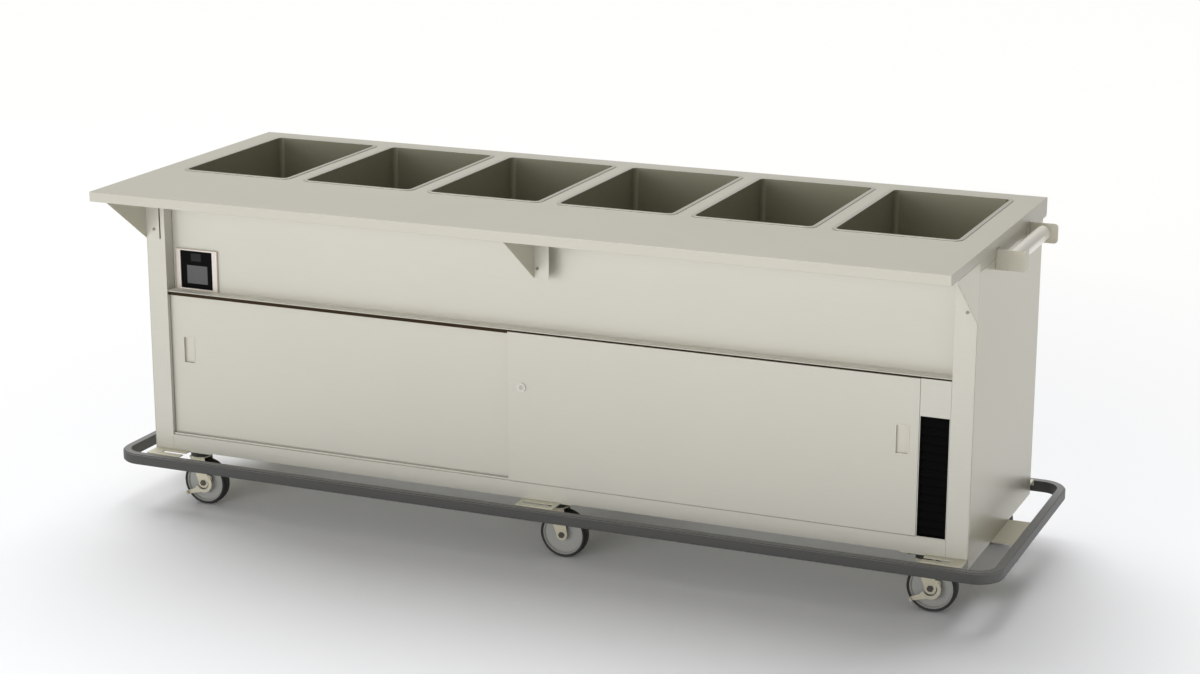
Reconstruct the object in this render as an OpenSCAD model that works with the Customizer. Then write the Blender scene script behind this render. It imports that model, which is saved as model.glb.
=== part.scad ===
// Mobile steam table: worktop with six wells on a closed cabinet with sliding
// doors, a push handle, a bumper ring and six casters. Millimetres, +Z up.
// The origin is on the floor under the middle of the whole outline.

/* [View] */
// piece to draw

/* [Counter] */
// worktop length, end to end
top_w = 2286; // [1800:1:2800]
// worktop depth, front to back
top_d = 914; // [800:1:1000]
// height of the worktop over the floor
work_h = 920; // [860:1:960]
// thickness of the folded sheets
sheet_t = 2; // [1.2:0.1:3]
// height of the front apron
apron_h = 26; // [20:0.5:40]
// height of the end and back turn-downs
drop_h = 49; // [40:0.5:70]
// radius of the turn-down's lower back corners
drop_r = 10; // [5:0.5:20]

/* [Wells] */
// length of a well opening, front to back
well_l = 500; // [400:1:520]
// width of a well opening
well_w = 305; // [250:1:320]
// distance between well centres
well_pitch = 364.6; // [350:0.1:400]
// depth of a well below the worktop
well_depth = 165; // [100:1:190]
// corner radius of a well
well_r = 14; // [8:0.5:25]
// gap from the well openings to the worktop's back edge
well_back = 72; // [55:1:90]
// wall thickness of a well
well_t = 1.6; // [1:0.1:2.5]
// width of the flange round a well
flange_w = 11; // [7:0.5:16]
// height of the flange over the worktop
flange_h = 2; // [1.2:0.1:3]
// radius of the drain sump
sump_r = 26; // [18:0.5:35]
// depth of the drain sump
sump_h = 12; // [8:0.5:20]
// radius of the drain hole
drain_r = 12; // [8:0.5:16]

/* [Cabinet] */
// worktop overhang in front of the cabinet
front_over = 255; // [200:1:280]
// depth of the cabinet
cab_d = 619; // [560:1:640]
// height of the end panels' lower edge
cab_z = 133; // [120:1:160]
// width of a front stile
stile_w = 57; // [45:1:75]
// depth of the recessed fascia behind the stiles
recess_d = 38; // [34:1:60]
// height of the deck over the end panels' lower edge
deck_up = 24; // [15:1:35]
// height of the bottom rail
rail_h = 42; // [30:1:60]
// gap over and under the doors' tracks
track_gap = 5; // [4:0.5:10]

/* [Doors] */
// height of a sliding door
door_h = 397; // [350:1:410]
// thickness of a sliding door
door_t = 12; // [10:0.5:20]
// thickness of a door's folded sheet
door_skin = 1.5; // [1:0.1:2.5]
// space between the two doors
door_space = 1.5; // [1.2:0.1:6]
// overlap of the two doors
door_lap = 78; // [60:1:100]
// width of the vent post
post_w = 76; // [60:1:100]
// height of the vent opening
vent_h = 303; // [250:1:350]
// gap between a door and its jamb
jamb_gap = 0.8; // [0.6:0.1:2]
// width of a flush pull
pull_w = 33; // [28:0.5:45]
// height of a flush pull
pull_h = 73; // [60:0.5:100]
// depth of a flush pull
pull_d = 8.5; // [6:0.5:13]
// height of the pulls' middle over the door's lower edge
pull_z = 240; // [180:1:260]
// distance from the pulls to the doors' outer edges
pull_in = 34; // [20:1:60]
// radius of the lock housing
lock_r = 12; // [9:0.5:15]
// height of the lock over the door's lower edge
lock_z = 254; // [200:1:300]
// distance from the lock to the door's inner edge
lock_in = 39; // [25:1:50]

/* [Controls] */
// gap from the left stile to the control bezel
bezel_gap = 13; // [5:0.5:25]
// width of the control bezel
bezel_w = 126; // [110:1:150]
// height of the control bezel
bezel_h = 112; // [105:1:140]
// thickness of the control bezel
bezel_t = 7; // [4:0.5:12]
// width of the control module
module_w = 97; // [80:1:110]
// height of the control module
module_h = 103; // [80:1:104]
// width of the display window
screen_w = 63; // [45:1:75]
// height of the display window
screen_h = 50; // [35:1:70]

/* [Gussets] */
// height of a gusset bracket
gusset_h = 150; // [120:1:180]
// width of a gusset's flange
gusset_flange = 42; // [25:1:50]
// gap from the apron to a gusset's nose
gusset_nose = 58; // [8:1:80]
// height of a gusset's blunt nose
gusset_tip = 8; // [5:0.5:15]

/* [Handle] */
// reach of the handle brackets
handle_reach = 73; // [60:0.5:73.5]
// distance from the end panel to the tube's middle
tube_out = 35; // [30:0.5:42]
// radius of the handle tube
tube_r = 19; // [15:0.5:22]
// wall of the handle tube
tube_t = 2; // [1.5:0.1:3]
// distance between the two handle brackets, outside
handle_l = 329; // [250:1:400]
// height of a handle bracket
bracket_h = 50; // [44:0.5:60]
// depth of a handle bracket's outer flange
bracket_lip = 26; // [15:0.5:35]

/* [Bumper] */
// reach of the bumper in front of the cabinet's faces
bumper_reach = 74; // [55:1:90]
// height of the bumper's section
bumper_h = 30; // [22:1:40]
// reach of the bumper beyond the cabinet's ends
bumper_end = 91; // [60:1:110]
// thickness of the bumper's section
bumper_t = 22; // [12:1:25]
// outside radius of the bumper's corners
bumper_r = 70; // [50:1:80]
// height of the bumper's lower edge
bumper_z = 124; // [110:1:140]

/* [Casters] */
// radius of a wheel with its tyre
wheel_r = 63.5; // [50:0.5:65]
// width of a tyre
tyre_w = 32; // [24:0.5:36]
// thickness of a tyre
tyre_t = 8; // [5:0.5:12]
// distance from swivel axis to axle
trail = 18; // [14:0.5:30]
// distance of the end casters from the worktop's ends
caster_end = 115; // [85:1:160]
// place of the middle casters, from the middle
middle_x = 46; // [0:1:80]
// distance of the casters from the cabinet's front and back
caster_in = 42; // [36:1:60]
// width of a caster's top plate
plate_w = 92; // [80:1:100]
// depth of a caster's top plate
plate_d = 64; // [56:1:66]
// thickness of a caster's top plate
plate_t = 4; // [3:0.5:6]
// radius of the axle bolt
axle_r = 5; // [4:0.5:7]

/* [Chassis] */
// width of an end cross member
end_member_w = 170; // [165:1:200]
// width of the middle cross member
mid_member_w = 135; // [130:1:170]
// width of an end cross member's tongues
end_tongue_w = 104; // [80:1:120]
// width of the middle cross member's tongues
mid_tongue_w = 105; // [80:1:120]
// height of a tongue's lug on the bumper
lug_h = 16; // [10:0.5:24]
// width of the slots in the tongues
slot_w = 14; // [8:0.5:18]
// width of a bracket between an end panel and the bumper
end_plate_w = 180; // [120:1:240]

/* [Hidden] */
$fn = 64;
// one overrun for all cuts
cut = 1;
// gap between pieces that lie side by side
seam = 0.3;
// clearance of pieces that run on each other
run = 0.05;

// heights
top_z = work_h - sheet_t;
deck_z = cab_z + deck_up;
rail_z = deck_z;
door_z = rail_z + rail_h + cut;
ledge_z = door_z + door_h + track_gap;

// depths: the worktop's front edge and the cabinet's faces
all_d = front_over + cab_d + bumper_reach;
front_y = -all_d / 2;
back_y = front_y + top_d;
cab_y = front_y + front_over;
cab_back = cab_y + cab_d;
mid_y = cab_y + cab_d / 2;
end_x = top_w / 2;

// wells
well_y = back_y - well_back - well_l / 2;
well_shares = [-2.5, -1.5, -0.5, 0.5, 1.5, 2.5];

// doors
jamb_l = -end_x + stile_w;
jamb_r = end_x - stile_w - post_w;
meet_x = (jamb_l + jamb_r) / 2 - door_lap / 2;
door_l_w = meet_x + door_lap - jamb_l - jamb_gap;
door_r_w = jamb_r - jamb_gap - meet_x;
door_back_y = cab_y + door_t + door_space;
guide_t = 3;
guide_h = 5;
guide_room = 0.8;
pull_rim = 2;
pull_lip = 0.8;
pull_skin = 1.6;
plug_r = lock_r * 0.62;
lock_d = door_t * 0.8;
lock_proud = 3;
plug_d = lock_d * 0.6;
key_w = 1.4;
key_h = plug_r * 1.2;

// vent
vent_z = door_z - cut;
vent_frame = 3;
slat_n = 14;
slat_t = 2;
vent_t = 8;

// controls
bezel_x = jamb_l + bezel_gap;
fascia_y = cab_y + recess_d;
bezel_z = ledge_z + sheet_t + seam;
module_x = bezel_x + (bezel_w - module_w) / 2 - cut;
module_z = bezel_z + (bezel_h - module_h) / 2;
module_t = bezel_t * 0.7;
screen_x = module_x + module_w * 0.19;
screen_z = module_z + module_h * 0.13;
screen_t = 1;

// handle
handle_x = end_x + tube_out;
handle_top = work_h - sheet_t - apron_h + sheet_t;
tube_z = handle_top - bracket_h / 2;
handle_y = mid_y - handle_l / 2;
bracket_t = 3;
bracket_r = 10;
bolt_r = 4;

// casters
caster_x = end_x - caster_end;
swivel_h = deck_z - seam - guide_t;
caster_ys = [cab_y + caster_in, cab_back - caster_in];
hub_r = 12;
disc_t = 14;
leg_t = 3;
leg_gap = 3;
fork_w = tyre_w + 2 * leg_gap + 2 * leg_t;
crown_t = 4;
race_h = 13;
race_r = 27;
crown_z = swivel_h - plate_t - race_h - crown_t;
king_r = 6;
hub_l = fork_w - 2 * leg_t - 2 * cut;
eye_r = 15;
head_h = 4;
wheel_core = wheel_r - tyre_t;
arm_r = eye_r + axle_r * 1.6;
arm_w = axle_r * 1.8;
brake_pin = [arm_r * cos(40), arm_r * sin(40)];
brake_pin_r = arm_w * 0.25;

// chassis
member_t = guide_t;
member_z = deck_z - seam - member_t;
member_side = 10;
member_x = end_x - sheet_t - seam - end_member_w;
mid_member_x = -35;
slot_edge = 12;
plate_z = cab_z - seam - member_t;
inner_r = bumper_r - bumper_t;

// Shared forms

// a box from its low corner and its size
module block(low, size) {
  translate(low) cube(size);
}

// a flat plate with round corners, its middle at the origin
module round_plate(w, d, h, r) {
  translate([-w / 2 + r, -d / 2, 0]) cube([w - 2 * r, d, h]);
  translate([-w / 2, -d / 2 + r, 0]) cube([w, d - 2 * r, h]);
  for (sx = [-1, 1], sy = [-1, 1])
    translate([sx * (w / 2 - r), sy * (d / 2 - r), 0]) cylinder(r = r, h = h);
}

// an outline in the X and Z directions, drawn t thick towards +Y
module side_sheet(t) {
  translate([0, t, 0]) rotate([90, 0, 0]) linear_extrude(t) children();
}

// an outline in the Y and Z directions, drawn t thick towards +X
module end_sheet(t) {
  rotate([90, 0, 90]) linear_extrude(t) children();
}

// places of the six casters: front row left to right, then back row
function caster_place(n) = [
  [-caster_x, middle_x, caster_x][n % 3],
  caster_ys[floor(n / 3)],
  0
];

// Worktop and wells

// end turn-down: low in front of the cabinet, deep behind, round at the back
module end_turndown() {
  end_sheet(sheet_t)
    difference() {
      union() {
        translate([front_y, top_z - apron_h + sheet_t]) square([top_d, apron_h]);
        translate([cab_y, work_h - drop_h]) square([back_y - cab_y - drop_r, drop_h - cut]);
        translate([cab_y, work_h - drop_h + drop_r])
          square([back_y - cab_y, drop_h - drop_r - cut]);
        translate([back_y - drop_r, work_h - drop_h + drop_r]) circle(r = drop_r);
      }
      translate([front_y - cut, top_z]) square([top_d + 2 * cut, sheet_t + cut]);
    }
}

module countertop() {
  hole_w = well_w + 2 * (well_t + seam);
  hole_l = well_l + 2 * (well_t + seam);
  color([0.72, 0.71, 0.68])
  union() {
    difference() {
      block([-end_x, front_y, top_z], [top_w, top_d, sheet_t]);
      for (s = well_shares)
        block(
          [s * well_pitch - hole_w / 2, well_y - hole_l / 2, top_z - cut],
          [hole_w, hole_l, sheet_t + 2 * cut]
        );
    }
    block([-end_x, front_y, work_h - apron_h], [top_w, sheet_t, apron_h]);
    block(
      [-end_x + sheet_t, back_y - sheet_t, work_h - drop_h + drop_r],
      [top_w - 2 * sheet_t, sheet_t, drop_h - drop_r]
    );
    translate([-end_x, 0, 0]) end_turndown();
    translate([end_x - sheet_t, 0, 0]) end_turndown();
  }
}

// one drop-in well: flange on the worktop, straight walls, sump with drain hole
module well_pan(n) {
  floor_z = work_h - well_depth;
  color([0.34, 0.33, 0.28])
  translate([well_shares[n] * well_pitch, well_y, 0])
  difference() {
    union() {
      translate([0, 0, work_h])
        round_plate(well_w + 2 * flange_w, well_l + 2 * flange_w, flange_h, well_r + flange_w);
      translate([0, 0, floor_z])
        round_plate(well_w + 2 * well_t, well_l + 2 * well_t, well_depth + cut, well_r + well_t);
      translate([0, 0, floor_z - sump_h]) cylinder(r = sump_r, h = sump_h + cut);
      translate([0, 0, floor_z - 2 * sump_h]) cylinder(r = drain_r + well_t, h = 2 * sump_h);
    }
    translate([0, 0, floor_z + well_t])
      round_plate(well_w, well_l, well_depth + flange_h + cut, well_r);
    translate([0, 0, floor_z - sump_h + well_t]) cylinder(r = sump_r - well_t, h = 2 * sump_h);
    translate([0, 0, floor_z - 2 * sump_h - cut]) cylinder(r = drain_r, h = 4 * sump_h);
  }
}

// flat heating plates with a hole for the sump
module heating_plates() {
  heat_t = 6;
  heat_share = 0.8;
  color([0.3, 0.3, 0.32])
  for (s = well_shares)
    translate([s * well_pitch, well_y, work_h - well_depth - heat_t - seam])
      difference() {
        round_plate(well_w * heat_share, well_l * heat_share, heat_t, well_r);
        translate([0, 0, -cut]) cylinder(r = sump_r + cut, h = heat_t + 2 * cut);
      }
}

pipe_r = 14;
drop_pipe_z = work_h - well_depth - 2 * sump_h;
pipe_z = drop_pipe_z - 2 * pipe_r;
valve_x = 2.5 * well_pitch + 4 * pipe_r;
valve_w = 40;

// drain manifold: one pipe under the wells with a riser to each sump
module drain_manifold() {
  color([0.6, 0.6, 0.58])
  difference() {
    union() {
      translate([well_shares[0] * well_pitch - 2 * pipe_r, well_y, pipe_z]) rotate([0, 90, 0])
        cylinder(r = pipe_r, h = valve_x - well_shares[0] * well_pitch + 2 * pipe_r - seam);
      for (s = well_shares)
        translate([s * well_pitch, well_y, pipe_z])
          cylinder(r = pipe_r, h = drop_pipe_z - pipe_z - seam);
    }
    translate([well_shares[0] * well_pitch - pipe_r, well_y, pipe_z]) rotate([0, 90, 0])
      cylinder(r = drain_r * 0.8, h = top_w);
    for (s = well_shares)
      translate([s * well_pitch, well_y, pipe_z])
        cylinder(r = drain_r * 0.8, h = drop_pipe_z);
  }
}

// ball valve at the manifold's end, with a stem that points to the front
module valve_body() {
  color([0.72, 0.58, 0.3])
  union() {
    translate([valve_x, well_y, pipe_z]) rotate([0, 90, 0])
      difference() {
        cylinder(r = pipe_r * 1.3, h = valve_w, $fn = 6);
        translate([0, 0, -cut]) cylinder(r = drain_r * 0.8, h = valve_w + 2 * cut);
      }
    translate([valve_x + valve_w / 2, well_y - pipe_r, pipe_z]) rotate([90, 0, 0])
      difference() {
        cylinder(r = pipe_r * 0.6, h = pipe_r);
        translate([0, 0, pipe_r * 0.5]) cylinder(r = pipe_r * 0.3, h = pipe_r);
      }
  }
}

// valve lever: stem in the body's neck and a flat handle
module valve_lever() {
  lever_l = 70;
  lever_t = 3;
  color([0.7, 0.16, 0.12])
  translate([valve_x + valve_w / 2, well_y - 2 * pipe_r - seam, pipe_z]) rotate([90, 0, 0])
  union() {
    translate([0, 0, -pipe_r * 0.4]) cylinder(r = pipe_r * 0.3 - run, h = pipe_r * 0.4 + cut);
    cylinder(r = pipe_r * 0.6, h = lever_t);
    translate([-pipe_r * 0.4, -lever_l, 0]) cube([pipe_r * 0.8, lever_l, lever_t]);
    translate([0, -lever_l, 0]) cylinder(r = pipe_r * 0.4, h = lever_t);
  }
}

// Cabinet

// end panel with a return at front and back and a flange under the deck
module end_panel(side) {
  panel_h = work_h - drop_h - seam - cab_z;
  x0 = end_x - sheet_t;
  color([0.74, 0.73, 0.69])
  mirror([side < 0 ? 1 : 0, 0, 0])
  union() {
    block([x0, cab_y + seam, cab_z], [sheet_t, cab_d - seam, panel_h]);
    block([x0 - drop_h / 2, cab_back - sheet_t, deck_z], [drop_h / 2, sheet_t, panel_h - deck_up]);
    block([x0 - drop_h / 2, cab_y + stile_w, cab_z], [drop_h / 2 + cut, cab_d - 2 * stile_w, sheet_t]);
  }
}

module back_panel() {
  color([0.7, 0.69, 0.66])
  block(
    [-end_x + sheet_t + drop_h / 2 + seam, cab_back - sheet_t, deck_z],
    [top_w - 2 * sheet_t - drop_h - 2 * seam, sheet_t, work_h - drop_h - deck_z]
  );
}

// deck with folded front, side and back edges
module bottom_deck() {
  low_y = cab_y + recess_d + seam;
  deck_d = cab_back - sheet_t - seam - low_y;
  color([0.68, 0.67, 0.64])
  union() {
    block([-end_x + sheet_t + seam, low_y, deck_z], [top_w - 2 * sheet_t - 2 * seam, deck_d, sheet_t]);
    block(
      [-end_x + sheet_t + drop_h, low_y, deck_z],
      [top_w - 2 * sheet_t - 2 * drop_h, sheet_t, rail_h * 0.6]
    );
  }
}

// box stiles beside the doors, up to the worktop's underside
module front_stiles() {
  stile_top = top_z - seam;
  color([0.8, 0.79, 0.74])
  for (m = [0, 1])
    mirror([m, 0, 0])
      difference() {
        block(
          [-end_x + sheet_t + seam, cab_y, rail_z],
          [stile_w - sheet_t - seam, recess_d, stile_top - rail_z]
        );
        block(
          [-end_x + 2 * sheet_t, cab_y + sheet_t, rail_z - cut],
          [stile_w - 3 * sheet_t, recess_d, stile_top - rail_z - sheet_t]
        );
      }
}

// recessed fascia with the ledge over the doors
module fascia() {
  low_x = jamb_l + seam;
  wide = top_w - 2 * stile_w - 2 * seam;
  color([0.8, 0.79, 0.74])
  difference() {
    union() {
      block([low_x, fascia_y, ledge_z], [wide, sheet_t, top_z - seam - ledge_z]);
      block([low_x, cab_y, ledge_z], [wide, recess_d + cut, sheet_t]);
    }
    block(
      [module_x - seam, fascia_y - cut, module_z + screen_h / 4],
      [module_w * 0.8, sheet_t + 2 * cut, module_h * 0.6]
    );
  }
}

module bottom_rail() {
  low_x = jamb_l + seam;
  wide = top_w - 2 * stile_w - 2 * seam;
  color([0.79, 0.78, 0.73])
  union() {
    block([low_x, cab_y, rail_z], [wide, sheet_t, rail_h]);
    block([low_x, cab_y, rail_z + rail_h - sheet_t], [wide, recess_d, sheet_t]);
    block([low_x, cab_y + recess_d - sheet_t, rail_z + sheet_t], [wide, sheet_t, rail_h - sheet_t]);
  }
}

// post between the doors and the right stile, with the vent opening
module vent_post() {
  high = ledge_z - seam - rail_z - rail_h - seam;
  color([0.8, 0.79, 0.74])
  difference() {
    block([jamb_r, cab_y, rail_z + rail_h + seam], [post_w - seam, recess_d, high]);
    block(
      [jamb_r + sheet_t, cab_y + vent_t + sheet_t, rail_z + rail_h - cut],
      [post_w - 2 * sheet_t - seam, recess_d, high - sheet_t]
    );
    block(
      [jamb_r + sheet_t, cab_y - cut, rail_z + rail_h + seam + sheet_t],
      [post_w - 2 * sheet_t - seam, recess_d, vent_h]
    );
  }
}

// black grille of slanted slats in a frame
module vent_grille() {
  w = post_w - 2 * sheet_t - 3 * seam;
  h = vent_h - 2 * seam;
  pitch = (h - 2 * vent_frame) / slat_n;
  color([0.05, 0.05, 0.05])
  translate([jamb_r + sheet_t + seam, cab_y + seam, rail_z + rail_h + sheet_t + 2 * seam])
  union() {
    difference() {
      cube([w, vent_t, h]);
      translate([vent_frame, -cut, vent_frame])
        cube([w - 2 * vent_frame, vent_t + 2 * cut, h - 2 * vent_frame]);
    }
    for (i = [0 : slat_n - 1])
      translate([vent_frame - seam, 0, vent_frame + (i + 0.15) * pitch])
        end_sheet(w - 2 * vent_frame + 2 * seam)
          polygon([
            [vent_t * 0.1, 0],
            [vent_t * 0.1, slat_t],
            [vent_t * 0.9, pitch * 0.7],
            [vent_t * 0.9, pitch * 0.7 - slat_t]
          ]);
  }
}

// guide ribs over and under the doors, one pair for each door
module door_tracks() {
  wide = jamb_r - jamb_l - 2 * seam;
  rib_1 = cab_y + door_t / 2 - guide_t / 2;
  rib_2 = door_back_y + door_t / 2 - guide_t / 2;
  low_z = rail_z + rail_h + seam;
  color([0.3, 0.3, 0.3])
  union() {
    for (y = [rib_1, rib_2]) {
      block([jamb_l + seam, y, low_z], [wide, guide_t, guide_h]);
      block([jamb_l + seam, y, ledge_z - seam - track_gap - guide_h], [wide, guide_t, track_gap + guide_h]);
    }
  }
}

// sliding door body: a folded pan with guide slots and a hole for its pull
module door(x, y, w, pull_x) {
  groove = guide_t + 2 * guide_room;
  deep = guide_h + guide_room;
  color([0.81, 0.8, 0.75])
  difference() {
    block([x, y, door_z], [w, door_t, door_h]);
    block(
      [x + door_skin, y + door_skin, door_z + door_skin],
      [w - 2 * door_skin, door_t, door_h - 2 * door_skin]
    );
    block([x - cut, y + door_t / 2 - groove / 2, door_z - cut], [w + 2 * cut, groove, deep + cut]);
    block(
      [x - cut, y + door_t / 2 - groove / 2, door_z + door_h - deep],
      [w + 2 * cut, groove, deep + cut]
    );
    block(
      [pull_x, y - cut, door_z + pull_z - pull_h / 2],
      [pull_w, pull_d + cut, pull_h]
    );
    children();
  }
}

pull_l_x = jamb_l + jamb_gap + pull_in + pull_rim;
pull_r_x = jamb_r - jamb_gap - pull_in * 0.72 - pull_w;
lock_x = meet_x + lock_in;

module door_left() {
  door(jamb_l + jamb_gap, door_back_y, door_l_w, pull_l_x);
}

module door_right() {
  door(meet_x, cab_y, door_r_w, pull_r_x)
    translate([lock_x, cab_y - cut, door_z + lock_z]) rotate([-90, 0, 0])
      cylinder(r = lock_r - lock_proud, h = lock_d + cut);
}

// flush pull: thin rim on the door and a cup in its pocket
module flush_pull(x, y) {
  low_z = door_z + pull_z - pull_h / 2;
  color([0.76, 0.75, 0.71])
  difference() {
    union() {
      block(
        [x - pull_rim, y - pull_lip, low_z - pull_rim],
        [pull_w + 2 * pull_rim, pull_lip - seam / 3, pull_h + 2 * pull_rim]
      );
      block(
        [x + seam, y - pull_lip, low_z + seam],
        [pull_w - 2 * seam, pull_d + pull_lip - seam, pull_h - 2 * seam]
      );
    }
    block(
      [x + pull_skin, y - pull_lip - cut, low_z + pull_skin],
      [pull_w - 2 * pull_skin, pull_d + cut - pull_skin, pull_h - 2 * pull_skin]
    );
  }
}

// lock: collar on the door, barrel in it, and a plug with a key slot
module lock_housing() {
  color([0.66, 0.66, 0.66])
  translate([lock_x, cab_y, door_z + lock_z]) rotate([90, 0, 0])
  difference() {
    union() {
      translate([0, 0, seam]) cylinder(r = lock_r, h = lock_proud - seam);
      translate([0, 0, -lock_d + seam]) cylinder(r = lock_r - lock_proud - seam, h = lock_d);
    }
    translate([0, 0, -plug_d]) cylinder(r = plug_r, h = lock_d + plug_d);
  }
}

module lock_plug() {
  color([0.5, 0.5, 0.5])
  translate([lock_x, cab_y, door_z + lock_z]) rotate([90, 0, 0])
  difference() {
    translate([0, 0, -plug_d + seam]) cylinder(r = plug_r - run, h = plug_d + lock_proud - seam);
    translate([-key_w / 2, -key_h / 2, lock_proud - key_w * 1.2]) cube([key_w, key_h, lock_proud]);
  }
}

// Controls

module control_bezel() {
  color([0.84, 0.8, 0.77])
  difference() {
    block([bezel_x, fascia_y - seam - bezel_t, bezel_z], [bezel_w, bezel_t, bezel_h]);
    block(
      [module_x - seam, fascia_y - 2 * bezel_t, module_z - seam],
      [module_w + 2 * seam, 3 * bezel_t, module_h + 2 * seam]
    );
  }
}

module control_module() {
  color([0.03, 0.03, 0.03])
  difference() {
    block([module_x, fascia_y - seam - module_t, module_z], [module_w, module_t, module_h]);
    block(
      [screen_x - seam, fascia_y - seam - module_t - cut, screen_z - seam],
      [screen_w + 2 * seam, screen_t + cut + seam, screen_h + 2 * seam]
    );
  }
}

module display_window() {
  color([0.2, 0.2, 0.21])
  block([screen_x, fascia_y - seam - module_t, screen_z], [screen_w, screen_t, screen_h]);
}

// Gussets under the front shelf

gusset_top = top_z - seam;
gusset_run = front_over - sheet_t - gusset_nose;
web_top = work_h - apron_h;

// one gusset: web in the Y and Z directions and a flange on the stile
module gusset(web_x, flange_dir, top, screw_at) {
  union() {
    translate([web_x, 0, 0])
      end_sheet(sheet_t)
        polygon([
          [cab_y - seam, top],
          [cab_y - seam - gusset_run, top],
          [cab_y - seam - gusset_run, web_top - gusset_tip],
          [cab_y - seam, web_top - gusset_h]
        ]);
    difference() {
      block(
        [
          flange_dir > 0 ? web_x : web_x + sheet_t - gusset_flange,
          cab_y - seam - sheet_t,
          web_top - gusset_h
        ],
        [gusset_flange, sheet_t, top - web_top + gusset_h]
      );
      translate([screw_at, cab_y, screw_z]) rotate([90, 0, 0])
        cylinder(r = bolt_r / 2, h = stile_w);
    }
  }
}

screw_z = web_top - gusset_h * 0.82;
web_l = -end_x;
web_r = end_x - sheet_t;
web_m = -sheet_t / 2;
screw_l = web_l + gusset_flange * 0.62;
screw_m = web_m + gusset_flange * 0.26;
screw_r = web_r + sheet_t - gusset_flange * 0.62;

module gusset_brackets() {
  color([0.62, 0.6, 0.54])
  union() {
    gusset(web_l, 1, web_top - seam, screw_l);
    gusset(web_r, -1, web_top - seam, screw_r);
    centre_gusset();
  }
}

// the middle gusset reaches back to the fascia over a spacer box
module centre_gusset() {
  difference() {
    union() {
      gusset(web_m, 1, gusset_top, screw_m);
      for (x = [web_m, web_m + gusset_flange / 2])
        block(
          [x, cab_y - seam - sheet_t, web_top - gusset_h],
          [sheet_t, recess_d + sheet_t, gusset_top - web_top + gusset_h]
        );
    }
    translate([screw_m, cab_y, screw_z]) rotate([90, 0, 0])
      cylinder(r = bolt_r / 2, h = stile_w);
  }
}

module gusset_screws() {
  color([0.45, 0.44, 0.42])
  for (x = [screw_l, screw_m, screw_r])
    translate([x, cab_y - seam - sheet_t - run, screw_z]) rotate([90, 0, 0])
      difference() {
        union() {
          cylinder(r = bolt_r, h = bolt_r / 2);
          translate([0, 0, -sheet_t]) cylinder(r = bolt_r / 2 - run, h = sheet_t + cut);
        }
        translate([0, 0, bolt_r / 4]) cylinder(r = bolt_r / 2, h = bolt_r, $fn = 6);
      }
}

// Handle at the right end

module handle_tube() {
  long = handle_l - 2 * bracket_t - 2 * seam;
  color([0.78, 0.77, 0.73])
  translate([handle_x, handle_y + bracket_t + seam, tube_z]) rotate([-90, 0, 0])
  difference() {
    cylinder(r = tube_r, h = long);
    translate([0, 0, -cut]) cylinder(r = tube_r - tube_t, h = long + 2 * cut);
  }
}

// bracket: plate across the tube's end, a foot on the end panel and a plug
module handle_bracket() {
  foot = bracket_lip;
  reach = handle_reach - seam;
  difference() {
    union() {
      translate([end_x + seam, 0, tube_z - bracket_h / 2])
        side_sheet(bracket_t)
          union() {
            square([reach - bracket_r, bracket_h]);
            translate([0, bracket_r]) square([reach, bracket_h - 2 * bracket_r]);
            translate([reach - bracket_r, bracket_r]) circle(r = bracket_r);
            translate([reach - bracket_r, bracket_h - bracket_r]) circle(r = bracket_r);
          }
      block([end_x + seam, 0, tube_z - bracket_h / 2], [bracket_t, foot, bracket_h]);
      translate([handle_x, bracket_t, tube_z]) rotate([-90, 0, 0])
        cylinder(r = tube_r - tube_t - seam, h = foot / 2);
    }
    for (z = [-1, 1])
      translate([end_x - cut, foot * 0.6, tube_z + z * bracket_h * 0.32]) rotate([0, 90, 0])
        cylinder(r = bolt_r * 0.7, h = bracket_t + 2 * cut);
  }
}

// outer flange that closes the front bracket
module bracket_flange() {
  block(
    [end_x + handle_reach - bracket_t, 0, tube_z - bracket_h / 2],
    [bracket_t, bracket_lip, bracket_h]
  );
  block(
    [end_x + handle_reach - bracket_r - cut, 0, tube_z - bracket_h / 2],
    [bracket_r + cut, bracket_t, bracket_h]
  );
}

module handle_brackets() {
  color([0.76, 0.75, 0.71])
  union() {
    translate([0, handle_y, 0]) union() {
      handle_bracket();
      bracket_flange();
    }
    translate([0, handle_y + handle_l, 0]) mirror([0, 1, 0]) handle_bracket();
  }
}

// Bumper and chassis

// outline of the bumper, drawn less far out by a given length
module ring_plate(less, h, r) {
  translate([0, mid_y, 0])
    round_plate(
      top_w + 2 * (bumper_end - less),
      cab_d + 2 * (bumper_reach - less),
      h,
      r
    );
}

// bumper: rounded section swept round the cabinet with round corners
module bumper() {
  soft = 3;
  color([0.36, 0.36, 0.36])
  translate([0, 0, bumper_z])
  difference() {
    union() {
      translate([0, 0, soft]) ring_plate(0, bumper_h - 2 * soft, bumper_r);
      ring_plate(soft, bumper_h, bumper_r - soft);
    }
    translate([0, 0, -cut]) ring_plate(bumper_t, bumper_h + 2 * cut, inner_r);
  }
}

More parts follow.
